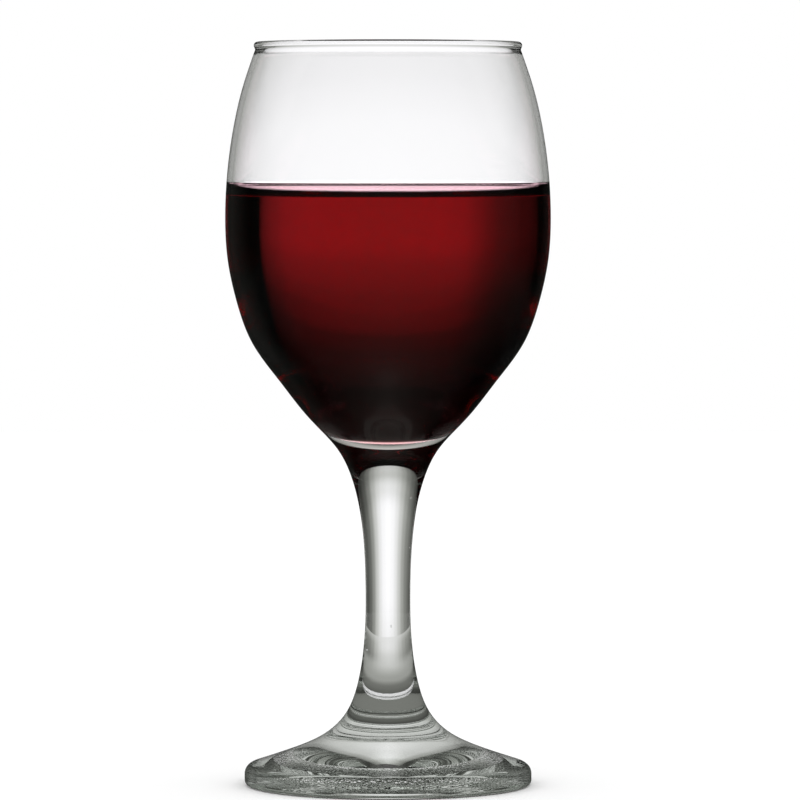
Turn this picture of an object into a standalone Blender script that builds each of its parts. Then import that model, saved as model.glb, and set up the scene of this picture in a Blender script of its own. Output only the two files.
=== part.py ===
"""A stemmed glass of red wine.

Units are metres, +Z is up, and the centre of the foot's underside is at the origin.
The glass is one solid of revolution, and the wine is a second one standing inside its bowl.
"""

import math

import bpy
import numpy as np

MM = 0.001
SEGMENTS = 64
AXIS_MERGE = 0.01 * MM

# Rim: the wall ends in a small melted bead.
GLASS_HEIGHT = 160.0 * MM
BEAD_RADIUS = 0.8 * MM
BEAD_CENTRE_RADIUS = 28.05 * MM
BEAD_INNER_ANGLE = 200.0
BEAD_OUTER_ANGLE = -35.0

# Foot: a cone with a rounded shoulder, an upright edge and a dished underside.
FOOT_RADIUS = 31.0 * MM
SHOULDER_RADIUS = 2.4 * MM
SHOULDER_CENTRE_HEIGHT = 2.3 * MM
SHOULDER_START_ANGLE = 72.0
HEEL_RADIUS = 0.9 * MM
BEARING_INNER_RADIUS = 27.2 * MM
DISH_DEPTH = 2.4 * MM

# Outer side from the rim to the foot's cone, as radius and height in millimetres.
OUTER_STATIONS = [
    (28.55, 158.3),
    (31.31, 150.0),
    (33.34, 141.0),
    (34.56, 132.0),
    (35.03, 122.5),
    (34.48, 113.0),
    (32.53, 104.0),
    (29.36, 95.5),
    (23.31, 87.0),
    (16.95, 79.0),
    (10.66, 72.0),
    (7.48, 65.0),
    (5.64, 56.0),
    (4.86, 42.5),
    (5.16, 31.0),
    (6.52, 22.0),
    (9.03, 15.5),
    (12.77, 11.5),
    (18.83, 8.3),
    (24.0, 6.38),
]

# Floor of the bowl: a spherical cap.
BOWL_FLOOR_HEIGHT = 75.4 * MM
BOWL_FLOOR_CURVATURE = 15.5 * MM
BOWL_FLOOR_ANGLE = 40.0

# Inner side from the bowl's floor up to the rim, as radius and height in millimetres.
INNER_STATIONS = [
    (15.0, 82.9),
    (20.9, 88.2),
    (27.25, 96.0),
    (30.95, 104.5),
    (33.05, 113.5),
    (33.68, 122.5),
    (33.27, 132.0),
    (32.1, 141.0),
    (30.1, 150.0),
    (27.42, 158.1),
]

# Wine: level in the middle, climbing the wall in a meniscus.
WINE_LEVEL = 127.7 * MM
MENISCUS_HEIGHT = 2.0 * MM
MENISCUS_REACH = 1.6 * MM
WINE_GAP = 0.3 * MM

OUTER_POINTS = 38
INNER_POINTS = 24
WINE_POINTS = 18
BEAD_POINTS = 8
SHOULDER_POINTS = 5
HEEL_POINTS = 4
DISH_POINTS = 5
FLOOR_POINTS = 5
MENISCUS_POINTS = 5

GLASS_COLOUR = (0.93, 0.96, 0.95, 1.0)
GLASS_INDEX = 1.52
WINE_COLOUR = (0.13, 0.006, 0.012, 1.0)
WINE_INDEX = 1.345
WINE_ROUGHNESS = 0.02


def clear_scene():
    """Remove every object of the scene."""
    for obj in list(bpy.data.objects):
        bpy.data.objects.remove(obj, do_unlink=True)


def arc(centre, radius, start_angle, end_angle, count):
    """Return points on a circle in the profile's plane, angles in degrees from +radius."""
    angles = np.radians(np.linspace(start_angle, end_angle, count))
    return np.column_stack(
        (centre[0] + radius * np.cos(angles), centre[1] + radius * np.sin(angles))
    )


def smooth_curve(points, count):
    """Return count points on the natural cubic spline through the points, evenly spaced."""
    lengths = np.linalg.norm(np.diff(points, axis=0), axis=1)
    knots = np.concatenate(([0.0], np.cumsum(lengths)))
    slopes = np.diff(points, axis=0) / lengths[:, None]
    inner = len(points) - 2
    system = np.zeros((inner, inner))
    for row in range(inner):
        system[row, row] = 2.0 * (lengths[row] + lengths[row + 1])
        if row:
            system[row, row - 1] = lengths[row]
            system[row - 1, row] = lengths[row]
    bends = np.zeros_like(points)
    bends[1:-1] = np.linalg.solve(system, 6.0 * np.diff(slopes, axis=0))
    along = np.linspace(0.0, knots[-1], count)
    span = np.clip(np.searchsorted(knots, along) - 1, 0, len(lengths) - 1)
    length = lengths[span][:, None]
    ahead = (knots[span + 1] - along)[:, None]
    behind = (along - knots[span])[:, None]
    curve = (bends[span] * ahead**3 + bends[span + 1] * behind**3) / (6.0 * length)
    curve += (points[span] / length - bends[span] * length / 6.0) * ahead
    curve += (points[span + 1] / length - bends[span + 1] * length / 6.0) * behind
    return curve


def bowl_floor():
    """Return the floor of the bowl as a spherical cap, from the axis outwards."""
    centre = (0.0, BOWL_FLOOR_HEIGHT + BOWL_FLOOR_CURVATURE)
    return arc(centre, BOWL_FLOOR_CURVATURE, -90.0, BOWL_FLOOR_ANGLE - 90.0, FLOOR_POINTS)


def inner_wall(count):
    """Return the inner side of the bowl above its floor, going up."""
    stations = np.vstack((bowl_floor()[-1], MM * np.array(INNER_STATIONS)))
    return smooth_curve(stations, count)[1:]


def rim_bead():
    """Return the bead over the rim, from the inner side to the outer side."""
    centre = (BEAD_CENTRE_RADIUS, GLASS_HEIGHT - BEAD_RADIUS)
    return arc(centre, BEAD_RADIUS, BEAD_INNER_ANGLE, BEAD_OUTER_ANGLE, BEAD_POINTS)


def foot_edge():
    """Return the foot's shoulder and heel, from the cone down to the bearing ring."""
    shoulder_centre = (FOOT_RADIUS - SHOULDER_RADIUS, SHOULDER_CENTRE_HEIGHT)
    shoulder = arc(shoulder_centre, SHOULDER_RADIUS, SHOULDER_START_ANGLE, 0.0, SHOULDER_POINTS)
    heel_centre = (FOOT_RADIUS - HEEL_RADIUS, HEEL_RADIUS)
    heel = arc(heel_centre, HEEL_RADIUS, 0.0, -90.0, HEEL_POINTS)
    return np.vstack((shoulder, heel))


def underside():
    """Return the dished underside, from the bearing ring in to the axis."""
    radii = np.linspace(BEARING_INNER_RADIUS, 0.0, DISH_POINTS)
    heights = DISH_DEPTH * (1.0 - (radii / BEARING_INNER_RADIUS) ** 2)
    return np.column_stack((radii, heights))


def glass_profile():
    """Return the glass's half section, from the bowl's floor over the rim and down to the foot."""
    foot = foot_edge()
    outer = smooth_curve(np.vstack((MM * np.array(OUTER_STATIONS), foot[0])), OUTER_POINTS)[:-1]
    return np.vstack((bowl_floor(), inner_wall(INNER_POINTS), rim_bead(), outer, foot, underside()))


def wine_wall():
    """Return the wine's side, from the meniscus's top edge down to the axis, clear of the bowl."""
    bowl = np.vstack((bowl_floor(), inner_wall(4 * WINE_POINTS)))
    along = np.gradient(bowl, axis=0)
    along /= np.linalg.norm(along, axis=1)[:, None]
    side = bowl + WINE_GAP * np.column_stack((-along[:, 1], along[:, 0]))
    side[0] = (0.0, BOWL_FLOOR_HEIGHT + WINE_GAP)
    top = WINE_LEVEL + MENISCUS_HEIGHT
    travelled = np.concatenate(([0.0], np.cumsum(np.linalg.norm(np.diff(side, axis=0), axis=1))))
    wet_length = np.interp(top, side[:, 1], travelled)
    stops = np.linspace(wet_length, 0.0, WINE_POINTS)
    return np.column_stack(
        (np.interp(stops, travelled, side[:, 0]), np.interp(stops, travelled, side[:, 1]))
    )


def wine_profile():
    """Return the wine's half section, from the middle of its surface out and down the side."""
    wall = wine_wall()
    inward = np.geomspace(4.0 * MENISCUS_REACH, 0.2 * MENISCUS_REACH, MENISCUS_POINTS)
    meniscus = np.column_stack(
        (wall[0, 0] - inward, WINE_LEVEL + MENISCUS_HEIGHT * np.exp(-inward / MENISCUS_REACH))
    )
    return np.vstack(([0.0, meniscus[0, 1]], meniscus, wall))


def clear_material(name, colour, index, roughness, transmission):
    """Return a Principled material of this colour for a clear piece."""
    material = bpy.data.materials.new(name)
    material.use_nodes = True
    shader = material.node_tree.nodes["Principled BSDF"]
    shader.inputs["Base Color"].default_value = colour
    shader.inputs["IOR"].default_value = index
    shader.inputs["Roughness"].default_value = roughness
    shader.inputs["Metallic"].default_value = 0.0
    shader.inputs["Transmission Weight"].default_value = transmission
    material.diffuse_color = colour
    return material


def turned_solid(name, profile, material):
    """Turn a half section about the Z axis into a solid of this name."""
    points = [(radius, 0.0, height) for radius, height in profile]
    edges = [(index, index + 1) for index in range(len(points) - 1)]
    mesh = bpy.data.meshes.new(name)
    mesh.from_pydata(points, edges, [])
    solid = bpy.data.objects.new(name, mesh)
    bpy.context.scene.collection.objects.link(solid)
    mesh.materials.append(material)
    screw = solid.modifiers.new("Turn", "SCREW")
    screw.axis = "Z"
    screw.angle = 2.0 * math.pi
    screw.steps = SEGMENTS
    screw.render_steps = SEGMENTS
    screw.use_smooth_shade = True
    screw.use_merge_vertices = True
    screw.merge_threshold = AXIS_MERGE
    return solid


def main():
    """Build the glass and its wine."""
    clear_scene()
    glass_material = clear_material("glass", GLASS_COLOUR, GLASS_INDEX, 0.0, 1.0)
    wine_material = clear_material("wine", WINE_COLOUR, WINE_INDEX, WINE_ROUGHNESS, 0.0)
    turned_solid("glass", glass_profile(), glass_material)
    turned_solid("wine", wine_profile(), wine_material)


main()
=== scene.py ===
"""The looks of a stemmed glass of red wine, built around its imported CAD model.

The glass is turned again at full smoothness, with its rim bead, a few seed bubbles and a ring of
fine dimples under the foot. The wine is a body of liquid that wets the wall and climbs it in a
meniscus.
"""

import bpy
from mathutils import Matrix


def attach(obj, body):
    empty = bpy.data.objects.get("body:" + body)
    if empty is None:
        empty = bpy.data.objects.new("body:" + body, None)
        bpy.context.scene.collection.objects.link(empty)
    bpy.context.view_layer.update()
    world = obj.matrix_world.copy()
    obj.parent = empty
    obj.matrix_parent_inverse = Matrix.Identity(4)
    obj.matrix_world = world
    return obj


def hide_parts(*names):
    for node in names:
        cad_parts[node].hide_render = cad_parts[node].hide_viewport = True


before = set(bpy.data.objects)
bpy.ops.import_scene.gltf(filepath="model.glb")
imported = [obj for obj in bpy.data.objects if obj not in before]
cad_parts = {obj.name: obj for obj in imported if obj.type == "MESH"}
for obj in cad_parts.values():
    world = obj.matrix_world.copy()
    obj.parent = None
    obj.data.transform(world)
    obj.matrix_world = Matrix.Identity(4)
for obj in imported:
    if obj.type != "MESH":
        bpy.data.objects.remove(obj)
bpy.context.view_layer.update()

import logging
import math
from dataclasses import dataclass
from enum import Enum
from typing import Union

import bpy
import numpy as np
from mathutils import Vector

log = logging.getLogger("glass_of_wine")

Profile = np.ndarray
Stops = tuple[tuple[float, float], ...]
Value = Union[float, tuple, bpy.types.NodeSocket]

MM = 0.001
MERGE_DISTANCE = 0.002 * MM
OUT = 0.0
DOWN = -90.0

# Light bends by the ratio of the two materials that meet: wine and glass for the wetted wall.
GLASS_INDEX = 1.52
WINE_INDEX = 1.345
WETTED = "wetted"
WHITE = (1.0, 1.0, 1.0, 1.0)


class Turning(Enum):
    """Number of facets around a turned piece or a disc."""

    FINE = 256
    STAGE = 128
    SMALL = 16


class Crossed(Enum):
    """Least number of surfaces that bend a ray on its way through a part of the glass."""

    WALL = 3
    WINE = 6
    WINE_TWICE = 8


class Turned(Enum):
    """Least number of surfaces that turn a ray back."""

    ONCE = 1
    TWICE = 2
    OFTEN = 5


class ColourMix(Enum):
    """Number of a Mix node's sockets for colours, which share their names with others."""

    FIRST = 6
    SECOND = 7
    RESULT = 2


def arc(centre: tuple, radius: float, start: float, end: float, count: int) -> Profile:
    """Lay points along a circle in the plane of a half section.

    Args:
        centre: Radius and height of the circle's centre.
        radius: The circle's radius.
        start: First angle in degrees, 0 pointing away from the axis.
        end: Last angle in degrees.
        count: Number of points.

    Returns:
        The points as rows of radius and height.
    """
    angles = np.radians(np.linspace(start, end, count))
    return np.column_stack(
        (centre[0] + radius * np.cos(angles), centre[1] + radius * np.sin(angles))
    )


def smooth_curve(points: Profile, count: int) -> Profile:
    """Draw the natural cubic spline through some points.

    Args:
        points: Rows of radius and height that the curve passes through.
        count: Number of points wanted, evenly spaced along the curve.

    Returns:
        The points as rows of radius and height.
    """
    lengths = np.linalg.norm(np.diff(points, axis=0), axis=1)
    knots = np.concatenate(([0.0], np.cumsum(lengths)))
    slopes = np.diff(points, axis=0) / lengths[:, None]
    inner = len(points) - 2
    system = np.zeros((inner, inner))
    for row in range(inner):
        system[row, row] = 2.0 * (lengths[row] + lengths[row + 1])
        if row:
            system[row, row - 1] = lengths[row]
            system[row - 1, row] = lengths[row]
    bends = np.zeros_like(points)
    bends[1:-1] = np.linalg.solve(system, 6.0 * np.diff(slopes, axis=0))
    along = np.linspace(0.0, knots[-1], count)
    span = np.clip(np.searchsorted(knots, along) - 1, 0, len(lengths) - 1)
    length = lengths[span][:, None]
    ahead = (knots[span + 1] - along)[:, None]
    behind = (along - knots[span])[:, None]
    curve = (bends[span] * ahead**3 + bends[span + 1] * behind**3) / (6.0 * length)
    curve += (points[span] / length - bends[span] * length / 6.0) * ahead
    curve += (points[span + 1] / length - bends[span + 1] * length / 6.0) * behind
    return curve


def turn(name: str, profile: Profile, facets: int) -> bpy.types.Object:
    """Trace a half section by extruding a point, and spin it about the Z axis.

    Args:
        name: Name of the new object and its mesh.
        profile: Rows of radius and height, from one end on the axis to the other.
        facets: Number of facets around.

    Returns:
        The turned object, closed, smooth and with its faces pointing outwards.
    """
    bpy.ops.object.select_all(action="DESELECT")
    start = (float(profile[0, 0]), 0.0, float(profile[0, 1]))
    bpy.ops.mesh.primitive_plane_add(size=MM, location=start)
    piece = bpy.context.object
    piece.name = piece.data.name = name
    bpy.ops.object.mode_set(mode="EDIT")
    bpy.ops.mesh.merge(type="CENTER")
    for step in np.diff(profile, axis=0):
        move = {"value": (float(step[0]), 0.0, float(step[1]))}
        bpy.ops.mesh.extrude_region_move(TRANSFORM_OT_translate=move)
    bpy.ops.mesh.select_all(action="SELECT")
    bpy.ops.mesh.spin(
        steps=facets, angle=2.0 * math.pi, center=(0.0, 0.0, 0.0), axis=(0.0, 0.0, 1.0)
    )
    bpy.ops.mesh.select_all(action="SELECT")
    bpy.ops.mesh.remove_doubles(threshold=MERGE_DISTANCE)
    bpy.ops.mesh.normals_make_consistent(inside=False)
    bpy.ops.object.mode_set(mode="OBJECT")
    bpy.ops.object.transform_apply(location=True, rotation=True, scale=True)
    bpy.ops.object.shade_smooth()
    return piece


def mark_wetted(piece: bpy.types.Object, faces: list) -> None:
    """Note in a piece's mesh which faces touch the other piece.

    Args:
        piece: The piece.
        faces: One truth value a face.
    """
    marks = piece.data.attributes.new(WETTED, "FLOAT", "FACE")
    marks.data.foreach_set("value", [float(face) for face in faces])


@dataclass(frozen=True)
class Glow:
    """Brightness of the studio by direction, as (degrees, brightness) stops.

    Bearings run from -180 to 180 degrees, with 0 straight behind the glass and + to the right.
    Heights run from -90 to 90 degrees above the horizon.
    """

    bearings: Stops
    heights: Stops


class Wiring:
    """Short names for the nodes of one tree."""

    def __init__(self, tree: bpy.types.NodeTree) -> None:
        """Keep the tree that the nodes go into."""
        self.tree = tree

    def node(self, kind: str) -> bpy.types.Node:
        """Add a node of one kind."""
        return self.tree.nodes.new(kind)

    def plug(self, value: Value, entry: bpy.types.NodeSocket) -> None:
        """Link a socket to an entry, or set the entry.

        Args:
            value: The socket, or the number or colour.
            entry: The entry.
        """
        if isinstance(value, bpy.types.NodeSocket):
            self.tree.links.new(value, entry)
        else:
            entry.default_value = value

    def math(self, operation: str, *values: Value) -> bpy.types.NodeSocket:
        """Wire one sum.

        Args:
            operation: Name of the operation.
            values: Sockets or numbers that go in.

        Returns:
            The socket that carries the result.
        """
        node = self.node("ShaderNodeMath")
        node.operation = operation
        for entry, value in zip(node.inputs, values):
            self.plug(value, entry)
        return node.outputs[0]

    def product(self, first: Value, second: Value) -> bpy.types.NodeSocket:
        """Return a socket that carries two values' product."""
        return self.math("MULTIPLY", first, second)

    def over(self, value: Value, limit: float) -> bpy.types.NodeSocket:
        """Return a socket that carries 1 where the value is over the limit, else 0."""
        return self.math("GREATER_THAN", value, limit)

    def under(self, value: Value, limit: float) -> bpy.types.NodeSocket:
        """Return a socket that carries 1 where the value is under the limit, else 0."""
        return self.math("LESS_THAN", value, limit)

    def at_least(self, count: bpy.types.NodeSocket, least: Enum) -> bpy.types.NodeSocket:
        """Return a socket that carries 1 where a whole number reaches a least count, else 0."""
        return self.over(count, least.value - 0.5)

    def fewer(self, count: bpy.types.NodeSocket, least: Enum) -> bpy.types.NodeSocket:
        """Return a socket that carries 1 where a whole number is below a count, else 0."""
        return self.under(count, least.value - 0.5)

    def choose(self, choice: Value, first: Value, second: Value) -> bpy.types.NodeSocket:
        """Choose between two numbers.

        Args:
            choice: 0 for the first value, 1 for the second, and between them a mixture.
            first: The first value.
            second: The second value.

        Returns:
            The socket that carries the chosen value.
        """
        node = self.node("ShaderNodeMix")
        self.plug(choice, node.inputs["Factor"])
        self.plug(first, node.inputs["A"])
        self.plug(second, node.inputs["B"])
        return node.outputs["Result"]

    def blend(self, share: Value, first: Value, second: Value) -> bpy.types.NodeSocket:
        """Blend two colours.

        Args:
            share: The second colour's share, from 0 to 1.
            first: The first colour.
            second: The second colour.

        Returns:
            The socket that carries the blend.
        """
        node = self.node("ShaderNodeMix")
        node.data_type = "RGBA"
        self.plug(share, node.inputs["Factor"])
        self.plug(first, node.inputs[ColourMix.FIRST.value])
        self.plug(second, node.inputs[ColourMix.SECOND.value])
        return node.outputs[ColourMix.RESULT.value]

    def ramp(self, value: bpy.types.NodeSocket, stops: Stops) -> bpy.types.NodeSocket:
        """Look a value up in a row of stops, with a smooth step from each to the next.

        Args:
            value: The socket that carries the value.
            stops: The (value, result) stops in rising order.

        Returns:
            The socket that carries the result.
        """
        lowest, highest = stops[0][0], stops[-1][0]
        most = max(result for _, result in stops)
        scale = self.node("ShaderNodeMapRange")
        self.plug(lowest, scale.inputs["From Min"])
        self.plug(highest, scale.inputs["From Max"])
        self.plug(value, scale.inputs["Value"])
        row = self.node("ShaderNodeValToRGB")
        row.color_ramp.interpolation = "EASE"
        elements = row.color_ramp.elements
        for index, (where, result) in enumerate(stops):
            place = (where - lowest) / (highest - lowest)
            if index == 0:
                stop = elements[0]
            elif index == len(stops) - 1:
                stop = elements[len(elements) - 1]
            else:
                stop = elements.new(place)
            stop.position = place
            stop.color = (result / most, result / most, result / most, 1.0)
        self.plug(scale.outputs["Result"], row.inputs["Fac"])
        return self.product(row.outputs["Color"], most)

    def axes(self, kind: str) -> tuple:
        """Read a place, or a world's direction.

        Args:
            kind: Name of the coordinates, Generated for a world's directions.

        Returns:
            The three sockets that carry it: across to the right, along away from the front, up.
        """
        place = self.node("ShaderNodeTexCoord")
        split = self.node("ShaderNodeSeparateXYZ")
        self.plug(place.outputs[kind], split.inputs[0])
        return tuple(split.outputs)

    def bearing(self, across: Value, along: Value) -> bpy.types.NodeSocket:
        """Return a socket that carries the bearing in degrees, 0 straight behind the glass."""
        return self.math("DEGREES", self.math("ARCTAN2", across, along))

    def radius(self, across: Value, along: Value) -> bpy.types.NodeSocket:
        """Return a socket that carries the distance from the axis."""
        square = self.math("ADD", self.math("POWER", across, 2.0), self.math("POWER", along, 2.0))
        return self.math("SQRT", square)

    def counts(self, first: float) -> tuple:
        """Count what surfaces have done to a ray since it left the camera.

        Args:
            first: What the count of turns starts from, 1 for a world and 0 for a surface.

        Returns:
            The node of the ray's path, and two sockets: the number of surfaces that have bent
            the ray, and the number that have turned it back.
        """
        path = self.node("ShaderNodeLightPath")
        crossed = path.outputs["Transmission Depth"]
        turned = self.math("SUBTRACT", path.outputs["Ray Depth"], crossed)
        return path, crossed, self.math("SUBTRACT", turned, first)

    def glow(self, glow: Glow, bearing: Value, height: Value) -> bpy.types.NodeSocket:
        """Return a socket that carries a glow's brightness at a bearing and height."""
        return self.product(self.ramp(bearing, glow.bearings), self.ramp(height, glow.heights))


@dataclass(frozen=True)
class ClearFinish:
    """A clear material: its surface, bare or wetted by the other piece, and what it absorbs."""

    name: str
    bare_index: float
    wetted_index: float
    absorbed: tuple
    density: float
    ripple: float
    ripple_scale: float
    ripple_detail: float = 1.5
    dimple: float = 0.0
    dimple_scale: float = 1400.0
    dimple_inner_radius: float = 18.5 * MM
    dimple_outer_radius: float = 23.2 * MM
    dimple_top: float = 2.0 * MM

    def dimples(self, wiring: Wiring, place: bpy.types.NodeSocket) -> bpy.types.NodeSocket:
        """Wire the ring of fine dimples under the foot.

        Args:
            wiring: The material's nodes.
            place: The socket that carries the place on the piece.

        Returns:
            The socket that carries the dimples' height.
        """
        dots = wiring.node("ShaderNodeTexVoronoi")
        wiring.plug(place, dots.inputs["Vector"])
        wiring.plug(self.dimple_scale, dots.inputs["Scale"])
        across, along, up = wiring.axes("Object")
        radius = wiring.radius(across, along)
        ring = wiring.product(
            wiring.over(radius, self.dimple_inner_radius),
            wiring.under(radius, self.dimple_outer_radius),
        )
        ring = wiring.product(ring, wiring.under(up, self.dimple_top))
        return wiring.product(ring, wiring.product(dots.outputs["Distance"], self.dimple))

    def relief(self, wiring: Wiring) -> bpy.types.NodeSocket:
        """Wire the surface's fine relief: a fire-polished ripple, and dimples where it has them.

        Args:
            wiring: The material's nodes.

        Returns:
            The socket that carries the bumped normal.
        """
        place = wiring.node("ShaderNodeTexCoord").outputs["Object"]
        ripple = wiring.node("ShaderNodeTexNoise")
        wiring.plug(place, ripple.inputs["Vector"])
        wiring.plug(self.ripple_scale, ripple.inputs["Scale"])
        wiring.plug(self.ripple_detail, ripple.inputs["Detail"])
        height = wiring.product(ripple.outputs["Fac"], self.ripple)
        if self.dimple:
            height = wiring.math("ADD", height, self.dimples(wiring, place))
        bump = wiring.node("ShaderNodeBump")
        wiring.plug(1.0, bump.inputs["Strength"])
        wiring.plug(1.0, bump.inputs["Distance"])
        wiring.plug(height, bump.inputs["Height"])
        return bump.outputs["Normal"]

    def surface(self, wiring: Wiring, index: float) -> bpy.types.Node:
        """Add one clear surface to the material.

        Args:
            wiring: The material's nodes.
            index: Index of refraction against what lies outside.

        Returns:
            The surface's node.
        """
        shader = wiring.node("ShaderNodeBsdfPrincipled")
        shader.inputs["Base Color"].default_value = WHITE
        shader.inputs["IOR"].default_value = index
        shader.inputs["Roughness"].default_value = 0.0
        shader.inputs["Transmission Weight"].default_value = 1.0
        return shader

    def material(self) -> bpy.types.Material:
        """Build the material.

        Returns:
            The node material, which reads from the mesh where the piece is wetted.
        """
        material = bpy.data.materials.new(self.name)
        material.use_nodes = True
        material.node_tree.nodes.clear()
        wiring = Wiring(material.node_tree)
        wetted = wiring.node("ShaderNodeAttribute")
        wetted.attribute_name = WETTED
        bare = self.surface(wiring, self.bare_index)
        wiring.plug(self.relief(wiring), bare.inputs["Normal"])
        surface = wiring.node("ShaderNodeMixShader")
        wiring.plug(wetted.outputs["Fac"], surface.inputs["Fac"])
        wiring.plug(bare.outputs["BSDF"], surface.inputs[1])
        wiring.plug(self.surface(wiring, self.wetted_index).outputs["BSDF"], surface.inputs[2])
        body = wiring.node("ShaderNodeVolumeAbsorption")
        body.inputs["Color"].default_value = (*self.absorbed, 1.0)
        body.inputs["Density"].default_value = self.density
        output = wiring.node("ShaderNodeOutputMaterial")
        wiring.plug(surface.outputs["Shader"], output.inputs["Surface"])
        wiring.plug(body.outputs["Volume"], output.inputs["Volume"])
        return material


@dataclass
class Bowl:
    """The inside of the bowl, which the glass and the wine share."""

    floor_height: float = 75.4 * MM
    floor_curvature: float = 15.5 * MM
    floor_angle: float = 40.0
    floor_points: int = 12
    wall_points: int = 90
    cut_margin: float = 0.05 * MM
    stations_mm: tuple = (
        (15.0, 82.9), (20.9, 88.2), (27.25, 96.0), (30.95, 104.5), (33.05, 113.5),
        (33.68, 122.5), (33.27, 132.0), (32.1, 141.0), (30.1, 150.0), (27.42, 158.1),
    )

    def inside(self) -> Profile:
        """Draw the bowl's inner side.

        Returns:
            The points from the floor's centre up to the rim.
        """
        centre = (0.0, self.floor_height + self.floor_curvature)
        end = DOWN + self.floor_angle
        floor = arc(centre, self.floor_curvature, DOWN, end, self.floor_points)
        stations = np.vstack((floor[-1], MM * np.array(self.stations_mm)))
        return np.vstack((floor, smooth_curve(stations, self.wall_points)[1:]))

    def split(self, height: float) -> tuple:
        """Cut the inner side at a height.

        Args:
            height: Height of the cut.

        Returns:
            The part below and the part above, both holding the point of the cut.
        """
        side = self.inside()
        radius = float(np.interp(height, side[:, 1], side[:, 0]))
        cut = np.array([[radius, height]])
        below = side[side[:, 1] < height - self.cut_margin]
        above = side[side[:, 1] > height + self.cut_margin]
        return np.vstack((below, cut)), np.vstack((cut, above))


@dataclass
class Glass:
    """The stemmed glass: bowl, rim bead, stem and foot in one piece."""

    bowl: Bowl
    waterline: float
    height: float = 160.0 * MM
    bead_radius: float = 0.8 * MM
    bead_centre_radius: float = 28.05 * MM
    bead_start: float = 200.0
    bead_end: float = -35.0
    bead_points: int = 18
    foot_radius: float = 31.0 * MM
    shoulder_radius: float = 2.4 * MM
    shoulder_centre_height: float = 2.3 * MM
    shoulder_start: float = 72.0
    shoulder_points: int = 12
    heel_radius: float = 0.9 * MM
    heel_points: int = 8
    bearing_inner_radius: float = 27.2 * MM
    dish_depth: float = 2.4 * MM
    dish_points: int = 28
    outer_points: int = 150
    uneven_top: float = 84.0 * MM
    uneven_bottom: float = 0.3 * MM
    uneven_fade: float = 12.0 * MM
    uneven_size: float = 9.0 * MM
    uneven_depth: float = 0.05 * MM
    floor_margin: float = 1.0 * MM
    wall_margin: float = 0.3 * MM
    seed_rings: int = 10
    # Each seed bubble's place, its radius, and its length as a multiple of its width.
    seeds_mm: tuple = (
        (4.1, -1.0, 51.3, 0.16, 1.6), (0.6, -3.6, 34.4, 0.13, 2.2), (-2.2, 2.4, 28.6, 0.1, 1.8),
        (3.0, 1.2, 62.5, 0.12, 1.3), (-14.0, -6.0, 6.4, 0.15, 1.0), (9.0, -13.5, 6.0, 0.12, 1.0),
    )
    outer_stations_mm: tuple = (
        (28.55, 158.3), (31.31, 150.0), (33.34, 141.0), (34.56, 132.0), (35.03, 122.5),
        (34.48, 113.0), (32.53, 104.0), (29.36, 95.5), (23.31, 87.0), (16.95, 79.0),
        (10.66, 72.0), (7.48, 65.0), (5.64, 56.0), (4.86, 42.5), (5.16, 31.0),
        (6.52, 22.0), (9.03, 15.5), (12.77, 11.5), (18.83, 8.3), (24.0, 6.38),
    )

    def bead(self) -> Profile:
        """Return the melted bead over the rim, from the inner side to the outer side."""
        centre = (self.bead_centre_radius, self.height - self.bead_radius)
        return arc(centre, self.bead_radius, self.bead_start, self.bead_end, self.bead_points)

    def foot_edge(self) -> Profile:
        """Draw the foot's shoulder and heel.

        Returns:
            The points from the foot's upper side down to the bearing ring.
        """
        shoulder = arc(
            (self.foot_radius - self.shoulder_radius, self.shoulder_centre_height),
            self.shoulder_radius, self.shoulder_start, OUT, self.shoulder_points,
        )
        heel = arc(
            (self.foot_radius - self.heel_radius, self.heel_radius),
            self.heel_radius, OUT, DOWN, self.heel_points,
        )
        return np.vstack((shoulder, heel))

    def underside(self) -> Profile:
        """Draw the dished underside.

        Returns:
            The points from the bearing ring in to the axis.
        """
        radii = np.linspace(self.bearing_inner_radius, 0.0, self.dish_points)
        heights = self.dish_depth * (1.0 - (radii / self.bearing_inner_radius) ** 2)
        return np.column_stack((radii, heights))

    def half_section(self) -> Profile:
        """Draw the half section.

        Returns:
            The points from the bowl's floor over the rim and down to the foot.
        """
        below, above = self.bowl.split(self.waterline)
        foot = self.foot_edge()
        stations = np.vstack((MM * np.array(self.outer_stations_mm), foot[0]))
        outer = smooth_curve(stations, self.outer_points)[:-1]
        return np.vstack((below, above[1:], self.bead(), outer, foot, self.underside()))

    def unevenness(self, place: Vector) -> float:
        """Say how uneven the glass is at a place.

        Args:
            place: The place on the glass.

        Returns:
            The share of the full unevenness, 0 on the bearing ring and inside the bowl.
        """
        if place.z <= self.uneven_bottom:
            return 0.0
        radius = math.hypot(place.x, place.y)
        above_floor = place.z > self.bowl.floor_height - self.floor_margin
        if above_floor and radius < self.bowl.floor_curvature:
            return 0.0
        return min(1.0, max(0.0, (self.uneven_top - place.z) / self.uneven_fade))

    def pull_in(self, piece: bpy.types.Object) -> None:
        """Give stem and foot the slight unevenness of pressed glass, all of it inwards.

        Args:
            piece: The turned glass.
        """
        uneven = piece.vertex_groups.new(name="uneven")
        for vertex in piece.data.vertices:
            share = self.unevenness(vertex.co)
            if share:
                uneven.add([vertex.index], share, "REPLACE")
        clouds = bpy.data.textures.new("uneven", "CLOUDS")
        clouds.noise_scale = self.uneven_size
        clouds.noise_depth = 1
        displace = piece.modifiers.new("uneven", "DISPLACE")
        displace.texture = clouds
        displace.texture_coords = "LOCAL"
        displace.vertex_group = uneven.name
        displace.strength = self.uneven_depth
        displace.mid_level = 1.0
        bpy.context.view_layer.objects.active = piece
        bpy.ops.object.modifier_apply(modifier=displace.name)

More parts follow.
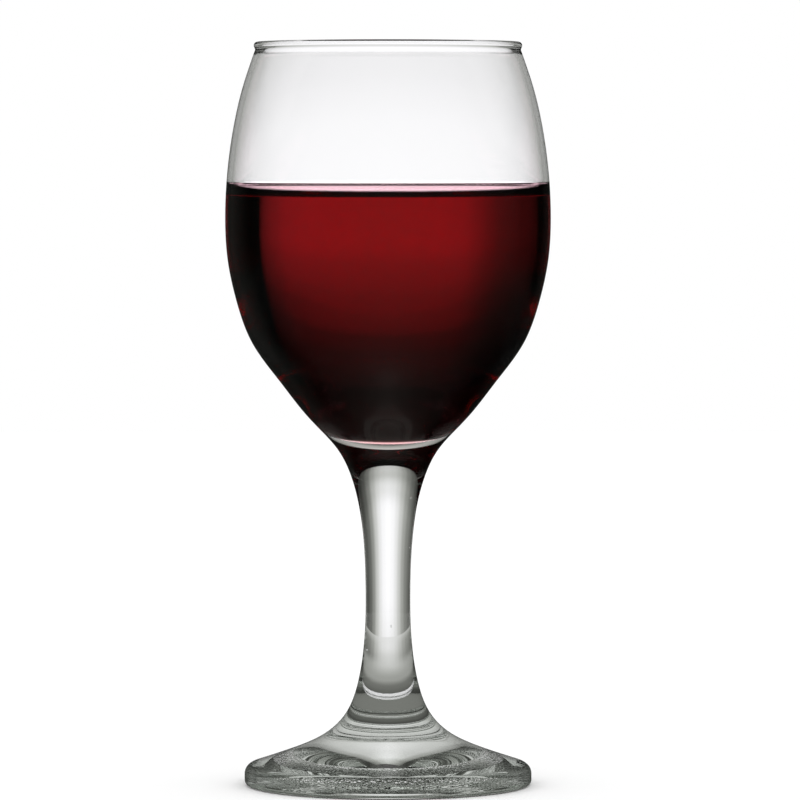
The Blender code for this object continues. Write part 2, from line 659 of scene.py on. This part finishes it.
    def add_seeds(self, piece: bpy.types.Object) -> None:
        """Put a few seed bubbles into the solid glass, as hollows that belong to its mesh.

        Args:
            piece: The turned glass.
        """
        for across, along, up, radius, length in self.seeds_mm:
            bpy.ops.object.select_all(action="DESELECT")
            bpy.ops.mesh.primitive_uv_sphere_add(
                segments=Turning.SMALL.value,
                ring_count=self.seed_rings,
                radius=radius * MM,
                location=(across * MM, along * MM, up * MM),
            )
            seed = bpy.context.object
            bpy.ops.object.mode_set(mode="EDIT")
            bpy.ops.mesh.select_all(action="SELECT")
            bpy.ops.transform.resize(value=(1.0, 1.0, length))
            bpy.ops.mesh.normals_make_consistent(inside=True)
            bpy.ops.object.mode_set(mode="OBJECT")
            bpy.ops.object.transform_apply(location=True, rotation=True, scale=True)
            bpy.ops.object.shade_smooth()
            piece.select_set(True)
            seed.select_set(True)
            bpy.context.view_layer.objects.active = piece
            bpy.ops.object.join()

    def is_wetted(self, place: Vector, wall: Profile) -> bool:
        """Say whether the wine wets the glass at a place.

        Args:
            place: The place on the glass.
            wall: The bowl's inner side.

        Returns:
            Whether the place lies on the bowl's wall and under the waterline.
        """
        if not self.bowl.floor_height - self.floor_margin < place.z < self.waterline:
            return False
        radius = float(np.interp(place.z, wall[:, 1], wall[:, 0]))
        return math.hypot(place.x, place.y) < radius + self.wall_margin

    def build(self) -> bpy.types.Object:
        """Build the glass.

        Returns:
            The glass, riding on the part's body.
        """
        piece = turn("clear_glass", self.half_section(), Turning.FINE.value)
        self.pull_in(piece)
        self.add_seeds(piece)
        finish = ClearFinish(
            name="clear_glass",
            bare_index=GLASS_INDEX,
            wetted_index=GLASS_INDEX / WINE_INDEX,
            absorbed=(0.905, 0.96, 0.915),
            density=10.0,
            ripple=0.004 * MM,
            ripple_scale=90.0,
            dimple=1.0 * MM,
        )
        piece.data.materials.append(finish.material())
        wall = self.bowl.inside()
        mark_wetted(piece, [self.is_wetted(face.center, wall) for face in piece.data.polygons])
        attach(piece, "root")
        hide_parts("glass")
        return piece


@dataclass
class Wine:
    """The wine: level in the middle, climbing the wall in a meniscus."""

    bowl: Bowl
    level: float = 126.65 * MM
    meniscus_height: float = 2.45 * MM
    capillary_length: float = 1.75 * MM
    # The meniscus is laid out by shares of its height, close together where it is nearly level.
    low_shares: tuple = (0.001, 0.1)
    low_points: int = 12
    high_shares: tuple = (0.14, 1.0)
    high_points: int = 24
    wall_pull: float = 0.2
    wall_pull_power: int = 3
    film_height: float = 0.22 * MM
    film_thickness: float = 0.03 * MM
    # The film's points, as shares of its thickness from the wall and of its height from the top.
    film_shares: tuple = ((1.0, 0.7), (0.9, 0.35), (0.7, 0.08), (0.0, 0.0))
    soak: float = 0.12 * MM
    surface_margin: float = 0.5 * MM

    def waterline(self) -> float:
        """Return the height of the line up to which the wine wets the wall."""
        return self.level + self.meniscus_height * (1.0 + self.wall_pull) + self.film_height

    def creep(self, rise: np.ndarray) -> np.ndarray:
        """Solve how far from an upright wall a liquid's surface stands at each rise.

        Args:
            rise: Heights above the level.

        Returns:
            The distances, from the place where the surface would be upright.
        """
        part = 2.0 * self.capillary_length / rise
        return self.capillary_length * (np.arccosh(part) - np.sqrt(4.0 - (2.0 / part) ** 2))

    def surface(self, edge: float) -> Profile:
        """Lay out the surface.

        Args:
            edge: Radius of the wall at the waterline.

        Returns:
            The points from the axis out to the wall.
        """
        low = np.geomspace(*self.low_shares, self.low_points)
        high = np.linspace(*self.high_shares, self.high_points)
        share = np.concatenate((low, high))
        rise = self.meniscus_height * share
        inward = self.creep(rise) - self.creep(rise[-1:])
        pulled = rise * (1.0 + self.wall_pull * share**self.wall_pull_power)
        meniscus = np.column_stack((edge - self.film_thickness - inward, self.level + pulled))
        out, down = np.array(self.film_shares).T
        film = np.column_stack((
            edge - self.film_thickness * out, self.waterline() - self.film_height * down,
        ))
        return np.vstack(([0.0, self.level + rise[0]], meniscus, film))

    def side(self) -> Profile:
        """Draw the wine's side, which reaches a little into the wall so that no gap shows.

        Returns:
            The points from the waterline down to the axis.
        """
        below, _ = self.bowl.split(self.waterline())
        way = np.gradient(below, axis=0)
        way /= np.linalg.norm(way, axis=1)[:, None]
        side = below + self.soak * np.column_stack((way[:, 1], -way[:, 0]))
        side[0] = (0.0, self.bowl.floor_height - self.soak)
        side[-1, 1] = self.waterline()
        return side[::-1]

    def is_wetted(self, place: Vector, edge: float) -> bool:
        """Return whether a place on the wine touches the glass, by the radius of its edge."""
        return math.hypot(place.x, place.y) > edge or place.z < self.level - self.surface_margin

    def build(self) -> bpy.types.Object:
        """Build the wine.

        Returns:
            The wine, riding on the part's body.
        """
        below, _ = self.bowl.split(self.waterline())
        edge = float(below[-1, 0])
        profile = np.vstack((self.surface(edge), self.side()))
        piece = turn("red_wine", profile, Turning.FINE.value)
        finish = ClearFinish(
            name="wine",
            bare_index=WINE_INDEX,
            wetted_index=1.0,
            absorbed=(0.663, 0.0, 0.05),
            density=95.0,
            ripple=0.002 * MM,
            ripple_scale=150.0,
        )
        piece.data.materials.append(finish.material())
        mark_wetted(piece, [self.is_wetted(face.center, edge) for face in piece.data.polygons])
        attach(piece, "root")
        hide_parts("wine")
        return piece


@dataclass
class Studio:
    """Camera, table and light.

    The light is a bright field: white behind the glass and dark beside it. Solid glass, the thin
    wall and the wine each take their light from their own glow, as they do from the reflectors and
    flags around a glass in a studio. They are told apart by the surfaces that a ray has met.
    """

    distance: float = 1.25385
    eye_height: float = 135.93 * MM
    pitch: float = 2.419
    lens: float = 262.1
    axis_px: float = 388.0
    frame_px: float = 800.0
    # Thick, clear shapes need more than the usual number of turns before the light is given up.
    bounces: int = 18

    table_radius: float = 1.6
    table_drop: float = 0.2 * MM
    table_colour: tuple = (0.9, 0.9, 0.9, 1.0)
    table_roughness: float = 0.7
    table_light: float = 1.25
    lamp_radius: float = 0.2
    lamp_drop: float = 0.1 * MM
    dim_colour: tuple = (0.97, 1.0, 0.9, 1.0)
    bright_colour: tuple = (0.99, 0.985, 1.0, 1.0)

    # Straight through solid glass. Stops of the table and of far_share start from a distance from
    # the axis in metres, and all others from degrees.
    solid_bearings: Stops = (
        (-180.0, 0.8), (-140.0, 0.5), (-110.0, 0.6), (-90.0, 0.9), (-78.0, 0.6), (-65.0, 0.1),
        (-52.0, 0.15), (-38.0, 0.24), (-28.0, 0.39), (-20.0, 0.64), (-13.0, 0.89), (-8.0, 1.04),
        (0.0, 1.12), (8.0, 1.04), (13.0, 0.89), (20.0, 0.62), (28.0, 0.30), (38.0, 0.14),
        (52.0, 0.08), (65.0, 0.1), (78.0, 0.6), (90.0, 0.9), (110.0, 0.6), (140.0, 0.5),
        (180.0, 0.8),
    )
    solid_heights: Stops = (
        (-90.0, 0.8), (-12.0, 0.8), (-8.0, 0.9), (-4.0, 1.0), (8.0, 1.0), (15.0, 0.8),
        (25.0, 0.55), (35.0, 0.6), (48.0, 0.78), (60.0, 0.85), (90.0, 0.9),
    )
    level_share: Stops = ((-90.0, 0.0), (-16.0, 0.0), (-9.0, 1.0), (90.0, 1.0))
    far_share: Stops = ((0.0, 0.0), (0.06, 0.0), (0.12, 0.8), (0.16, 0.8), (0.2, 0.5))
    solid_table: Stops = (
        (0.0, 0.12), (0.0165, 0.12), (0.0185, 0.03), (0.03, 0.03), (0.036, 0.12), (0.05, 0.17),
        (0.065, 0.36), (0.1, 0.6), (0.17, 0.78), (0.3, 0.9), (0.6, 1.0),
    )
    # Near the foot the table is dark by bearing, behind the axis within the shade radius and in
    # front of it beyond, and clear elsewhere. Past the shaded radius it is solid_table all round.
    clear_table: float = 0.8
    shaded_behind: Stops = (
        (-180.0, 0.0), (-75.0, 0.0), (-40.0, 1.0), (40.0, 1.0), (75.0, 0.0), (180.0, 0.0),
    )
    shaded_in_front: Stops = (
        (-180.0, 1.0), (-125.0, 1.0), (-95.0, 0.0), (95.0, 0.0), (125.0, 1.0), (180.0, 1.0),
    )
    shade_radius: float = 17.5 * MM
    shaded_radius: float = 32.0 * MM

    # Turned back inside the foot or the stem: once, a few times or often.
    foot_once: Glow = Glow(
        bearings=(
            (-180.0, 0.3), (-60.0, 0.3), (-45.0, 0.42), (-32.0, 0.55), (-20.0, 0.8), (0.0, 1.0),
            (20.0, 0.8), (32.0, 0.55), (45.0, 0.42), (60.0, 0.3), (180.0, 0.3),
        ),
        heights=(
            (-90.0, 0.5), (-20.0, 0.5), (-12.0, 0.68), (-8.0, 0.6), (-4.0, 0.35), (2.0, 0.8),
            (14.0, 0.8), (26.0, 0.82), (38.0, 0.8), (52.0, 0.85), (62.0, 0.65), (75.0, 0.4),
            (90.0, 0.3),
        ),
    )
    foot_again: Glow = Glow(
        bearings=((-180.0, 1.0), (-45.0, 1.0), (0.0, 1.6), (45.0, 1.0), (180.0, 1.0)),
        heights=(
            (-90.0, 0.25), (-10.0, 0.13), (0.0, 0.07), (10.0, 0.08), (20.0, 0.05), (60.0, 0.03),
            (90.0, 0.03),
        ),
    )
    foot_often: Stops = (
        (-90.0, 0.1), (-20.0, 0.15), (-8.0, 0.45), (0.0, 0.7), (14.0, 0.72), (22.0, 0.18),
        (35.0, 0.06), (90.0, 0.05),
    )
    foot_table: Stops = ((0.0, 0.2), (0.04, 0.2), (0.08, 0.4), (0.1, 0.6), (0.2, 0.65))
    # By bearing, unlike the other stops of the table.
    foot_table_again: Stops = (
        (-180.0, 0.08), (-90.0, 0.18), (-60.0, 0.08), (-30.0, 0.3), (0.0, 0.65), (30.0, 0.3),
        (60.0, 0.08), (90.0, 0.18), (180.0, 0.08),
    )

    # Mirrored by the outside, with the table's own shine.
    mirrored: Glow = Glow(
        bearings=(
            (-180.0, 0.06), (-90.0, 0.02), (-66.0, 0.006), (-49.0, 0.027), (-37.0, 0.035),
            (-24.0, 0.02), (0.0, 0.02), (27.0, 0.009), (41.0, 0.002), (66.0, 0.012),
            (90.0, 0.02), (180.0, 0.06),
        ),
        heights=((-90.0, 1.0), (20.0, 1.0), (50.0, 2.0), (90.0, 4.0)),
    )
    table_shine: Stops = (
        (-90.0, 0.26), (-84.0, 0.22), (-80.0, 0.15), (-75.0, 0.08), (-68.0, 0.05), (-58.0, 0.02),
        (-45.0, 0.0), (90.0, 0.0),
    )

    # Through the thin wall over the wine, or turned back by the bowl's floor.
    wall: Glow = Glow(
        bearings=(
            (-180.0, 0.97), (-90.0, 0.95), (-60.0, 0.8), (-30.0, 0.7), (-18.0, 0.75),
            (-10.0, 0.85), (-5.0, 0.94), (0.0, 0.97), (5.0, 0.94), (10.0, 0.85), (18.0, 0.75),
            (30.0, 0.7), (60.0, 0.8), (90.0, 0.95), (180.0, 0.97),
        ),
        heights=(
            (-90.0, 1.2), (-0.3, 1.2), (0.3, 1.14), (1.0, 1.03), (3.0, 1.0), (90.0, 1.0),
        ),
    )
    wall_table: float = 1.1
    floor_heights: Stops = ((-90.0, 1.0), (45.0, 1.0), (60.0, 0.0), (90.0, 0.0))
    floor_share: float = 0.6

    # Through the wine, and through the thin wedge of it at the waterline.
    wine: Glow = Glow(
        bearings=(
            (-180.0, 1.5), (-120.0, 1.1), (-90.0, 1.6), (-72.0, 1.1), (-60.0, 0.0),
            (-45.3, 0.0), (-44.7, 0.08), (-34.0, 0.18), (-29.0, 0.25), (-24.0, 0.38),
            (-20.5, 0.66), (-17.0, 1.08), (-14.0, 1.6), (-8.0, 1.9), (0.0, 1.95), (8.0, 1.92),
            (14.0, 1.75), (20.5, 1.4), (24.0, 0.95), (27.0, 0.66), (30.0, 0.32), (30.6, 0.0),
            (60.0, 0.0), (72.0, 1.1), (90.0, 1.6), (120.0, 1.1), (180.0, 1.5),
        ),
        heights=(
            (-90.0, 0.0), (-30.0, 0.05), (-20.0, 0.3), (-14.0, 0.75), (-8.0, 1.0), (0.5, 1.0),
            (1.9, 0.93), (3.8, 0.7), (5.5, 0.6), (8.0, 0.4), (9.5, 0.24), (12.4, 0.088),
            (17.4, 0.04), (22.8, 0.018), (29.0, 0.006), (90.0, 0.006),
        ),
    )
    wine_table: Stops = (
        (0.0, 0.0), (0.12, 0.01), (0.2, 0.06), (0.3, 0.2), (0.5, 0.8), (1.6, 1.0),
    )
    wedge: Glow = Glow(
        bearings=(
            (-180.0, 0.8), (-140.0, 0.1), (-90.0, 0.8), (-75.0, 0.1), (-50.0, 1.0), (50.0, 1.0),
            (75.0, 0.1), (90.0, 0.8), (140.0, 0.1), (180.0, 0.8),
        ),
        heights=(
            (-90.0, 0.02), (-12.0, 0.02), (-7.0, 1.0), (1.0, 1.3), (7.0, 2.3), (12.0, 4.6),
            (15.0, 4.6), (18.0, 0.02), (90.0, 0.02),
        ),
    )
    wedge_colour: tuple = (1.0, 0.67, 0.76, 1.0)

    def camera(self) -> None:
        """Place the camera where the photograph was taken from."""
        data = bpy.data.cameras.new("camera")
        data.lens = self.lens
        camera = bpy.data.objects.new("camera", data)
        bpy.context.scene.collection.objects.link(camera)
        scale = self.frame_px * self.lens / data.sensor_width
        yaw = math.atan((self.frame_px / 2.0 - self.axis_px) / scale)
        camera.location = (0.0, -self.distance, self.eye_height)
        camera.rotation_euler = (math.radians(90.0 - self.pitch), 0.0, -yaw)
        bpy.context.scene.camera = camera

    def disc(self, name: str, radius: float, height: float) -> bpy.types.Object:
        """Lay a disc around the axis.

        Args:
            name: The disc's name.
            radius: Its radius.
            height: Its height.

        Returns:
            The disc.
        """
        bpy.ops.object.select_all(action="DESELECT")
        bpy.ops.mesh.primitive_circle_add(
            vertices=Turning.STAGE.value,
            radius=radius,
            fill_type="NGON",
            location=(0.0, 0.0, height),
        )
        disc = bpy.context.object
        disc.name = name
        return disc

    def table(self) -> None:
        """Lay the pale table, which glass and wine don't see: their light comes from the lamp."""
        table = self.disc("table", self.table_radius, -self.table_drop)
        table.visible_glossy = table.visible_transmission = False
        pale = bpy.data.materials.new("pale_table")
        pale.use_nodes = True
        shader = pale.node_tree.nodes["Principled BSDF"]
        shader.inputs["Base Color"].default_value = self.table_colour
        shader.inputs["Roughness"].default_value = self.table_roughness
        shader.inputs["Specular IOR Level"].default_value = 0.0
        table.data.materials.append(pale)

    def near_light(
        self, wiring: Wiring, bearing: bpy.types.NodeSocket, radius: bpy.types.NodeSocket
    ) -> bpy.types.NodeSocket:
        """Wire what solid glass takes up from the table near the foot.

        Args:
            wiring: The lamp's nodes.
            bearing: The socket that carries the bearing of the place on the table.
            radius: The socket that carries its distance from the axis.

        Returns:
            The socket that carries the brightness.
        """
        shaded = wiring.choose(
            wiring.over(radius, self.shade_radius),
            wiring.ramp(bearing, self.shaded_behind),
            wiring.ramp(bearing, self.shaded_in_front),
        )
        shaded = wiring.math("MAXIMUM", shaded, wiring.over(radius, self.shaded_radius))
        return wiring.choose(shaded, self.clear_table, wiring.ramp(radius, self.solid_table))

    def lamp_light(self, wiring: Wiring) -> bpy.types.NodeSocket:
        """Wire the lamp's brightness, for each part of the glass its own.

        Args:
            wiring: The lamp's nodes.

        Returns:
            The socket that carries the brightness.
        """
        across, along, _ = wiring.axes("Object")
        bearing = wiring.bearing(across, along)
        radius = wiring.radius(across, along)
        _, crossed, turned = wiring.counts(0.0)
        once = wiring.at_least(turned, Turned.ONCE)
        again = wiring.at_least(turned, Turned.TWICE)
        far = wiring.ramp(radius, self.far_share)
        sides = wiring.choose(far, 1.0, wiring.ramp(bearing, self.solid_bearings))
        solid = wiring.product(self.near_light(wiring, bearing, radius), sides)
        wall = wiring.choose(once, self.wall_table, wiring.product(solid, self.floor_share))
        foot = wiring.choose(
            again, wiring.ramp(radius, self.foot_table), wiring.ramp(bearing, self.foot_table_again)
        )
        solid = wiring.choose(once, solid, foot)
        wine = wiring.product(
            wiring.ramp(radius, self.wine_table), wiring.ramp(bearing, self.wine.bearings)
        )
        wine = wiring.product(wine, wiring.fewer(turned, Turned.TWICE))
        light = wiring.choose(wiring.at_least(crossed, Crossed.WALL), solid, wall)
        return wiring.choose(wiring.at_least(crossed, Crossed.WINE), light, wine)

    def lamp(self) -> None:
        """Lay the light over the table that the glass takes up from it."""
        disc = self.disc("table_light", self.lamp_radius, -self.lamp_drop)
        disc.visible_camera = disc.visible_diffuse = disc.visible_glossy = False
        disc.visible_shadow = False
        lit = bpy.data.materials.new("table_light")
        lit.use_nodes = True
        lit.node_tree.nodes.clear()
        wiring = Wiring(lit.node_tree)
        light = self.lamp_light(wiring)
        lamp = wiring.node("ShaderNodeEmission")
        wiring.plug(light, lamp.inputs["Strength"])
        colour = wiring.blend(light, self.dim_colour, self.bright_colour)
        wiring.plug(colour, lamp.inputs["Color"])
        output = wiring.node("ShaderNodeOutputMaterial")
        wiring.plug(lamp.outputs["Emission"], output.inputs["Surface"])
        disc.data.materials.append(lit)

    def world(self) -> None:
        """Fill the studio with light, for each part of the glass its own."""
        world = bpy.data.worlds.new("studio")
        bpy.context.scene.world = world
        world.use_nodes = True
        wiring = Wiring(world.node_tree)
        across, along, up = wiring.axes("Generated")
        bearing = wiring.bearing(across, along)
        height = wiring.math("DEGREES", wiring.math("ARCSINE", up))
        path, crossed, turned = wiring.counts(1.0)
        once = wiring.at_least(turned, Turned.ONCE)
        again = wiring.at_least(turned, Turned.TWICE)
        not_again = wiring.fewer(turned, Turned.TWICE)
        in_wine = wiring.at_least(crossed, Crossed.WINE)

        level = wiring.ramp(height, self.level_share)
        sides = wiring.choose(level, 1.0, wiring.ramp(bearing, self.solid_bearings))
        solid = wiring.product(sides, wiring.ramp(height, self.solid_heights))
        floor = wiring.product(self.floor_share, wiring.ramp(height, self.floor_heights))
        wall = wiring.glow(self.wall, bearing, height)
        wall = wiring.choose(once, wall, wiring.product(solid, floor))
        foot = wiring.choose(
            again,
            wiring.glow(self.foot_once, bearing, height),
            wiring.glow(self.foot_again, bearing, height),
        )
        often = wiring.ramp(height, self.foot_often)
        foot = wiring.choose(wiring.at_least(turned, Turned.OFTEN), foot, often)
        solid = wiring.choose(once, solid, foot)
        light = wiring.choose(wiring.at_least(crossed, Crossed.WALL), solid, wall)
        wine = wiring.product(wiring.glow(self.wine, bearing, height), not_again)
        light = wiring.choose(in_wine, light, wine)
        exactly_once = wiring.product(once, not_again)
        twice = wiring.at_least(crossed, Crossed.WINE_TWICE)
        wedge = wiring.product(in_wine, wiring.math("MAXIMUM", exactly_once, twice))
        light = wiring.choose(wedge, light, wiring.glow(self.wedge, bearing, height))
        mirrored = wiring.glow(self.mirrored, bearing, height)
        mirrored = wiring.math("ADD", mirrored, wiring.ramp(height, self.table_shine))
        light = wiring.choose(path.outputs["Is Reflection Ray"], light, mirrored)
        light = wiring.choose(path.outputs["Is Diffuse Ray"], light, self.table_light)
        light = wiring.choose(path.outputs["Is Camera Ray"], light, 1.0)

        colour = wiring.blend(light, self.dim_colour, self.bright_colour)
        colour = wiring.blend(wedge, colour, self.wedge_colour)
        colour = wiring.blend(path.outputs["Is Camera Ray"], colour, WHITE)
        colour = wiring.blend(path.outputs["Is Diffuse Ray"], colour, WHITE)
        background = world.node_tree.nodes["Background"]
        wiring.plug(colour, background.inputs["Color"])
        wiring.plug(light, background.inputs["Strength"])

    def build(self) -> None:
        """Set up the whole studio."""
        self.camera()
        self.table()
        self.lamp()
        self.world()
        scene = bpy.context.scene
        scene.view_settings.view_transform = "Standard"
        scene.cycles.max_bounces = self.bounces
        scene.cycles.glossy_bounces = self.bounces
        scene.cycles.transmission_bounces = self.bounces


def main() -> None:
    """Build the glass, its wine and the studio."""
    logging.basicConfig(level=logging.INFO, format="%(name)s: %(message)s")
    bowl = Bowl()
    wine = Wine(bowl)
    for piece in (Glass(bowl, wine.waterline()).build(), wine.build()):
        log.info("%s: %d faces", piece.name, len(piece.data.polygons))
    Studio().build()


if __name__ == "__main__":
    main()
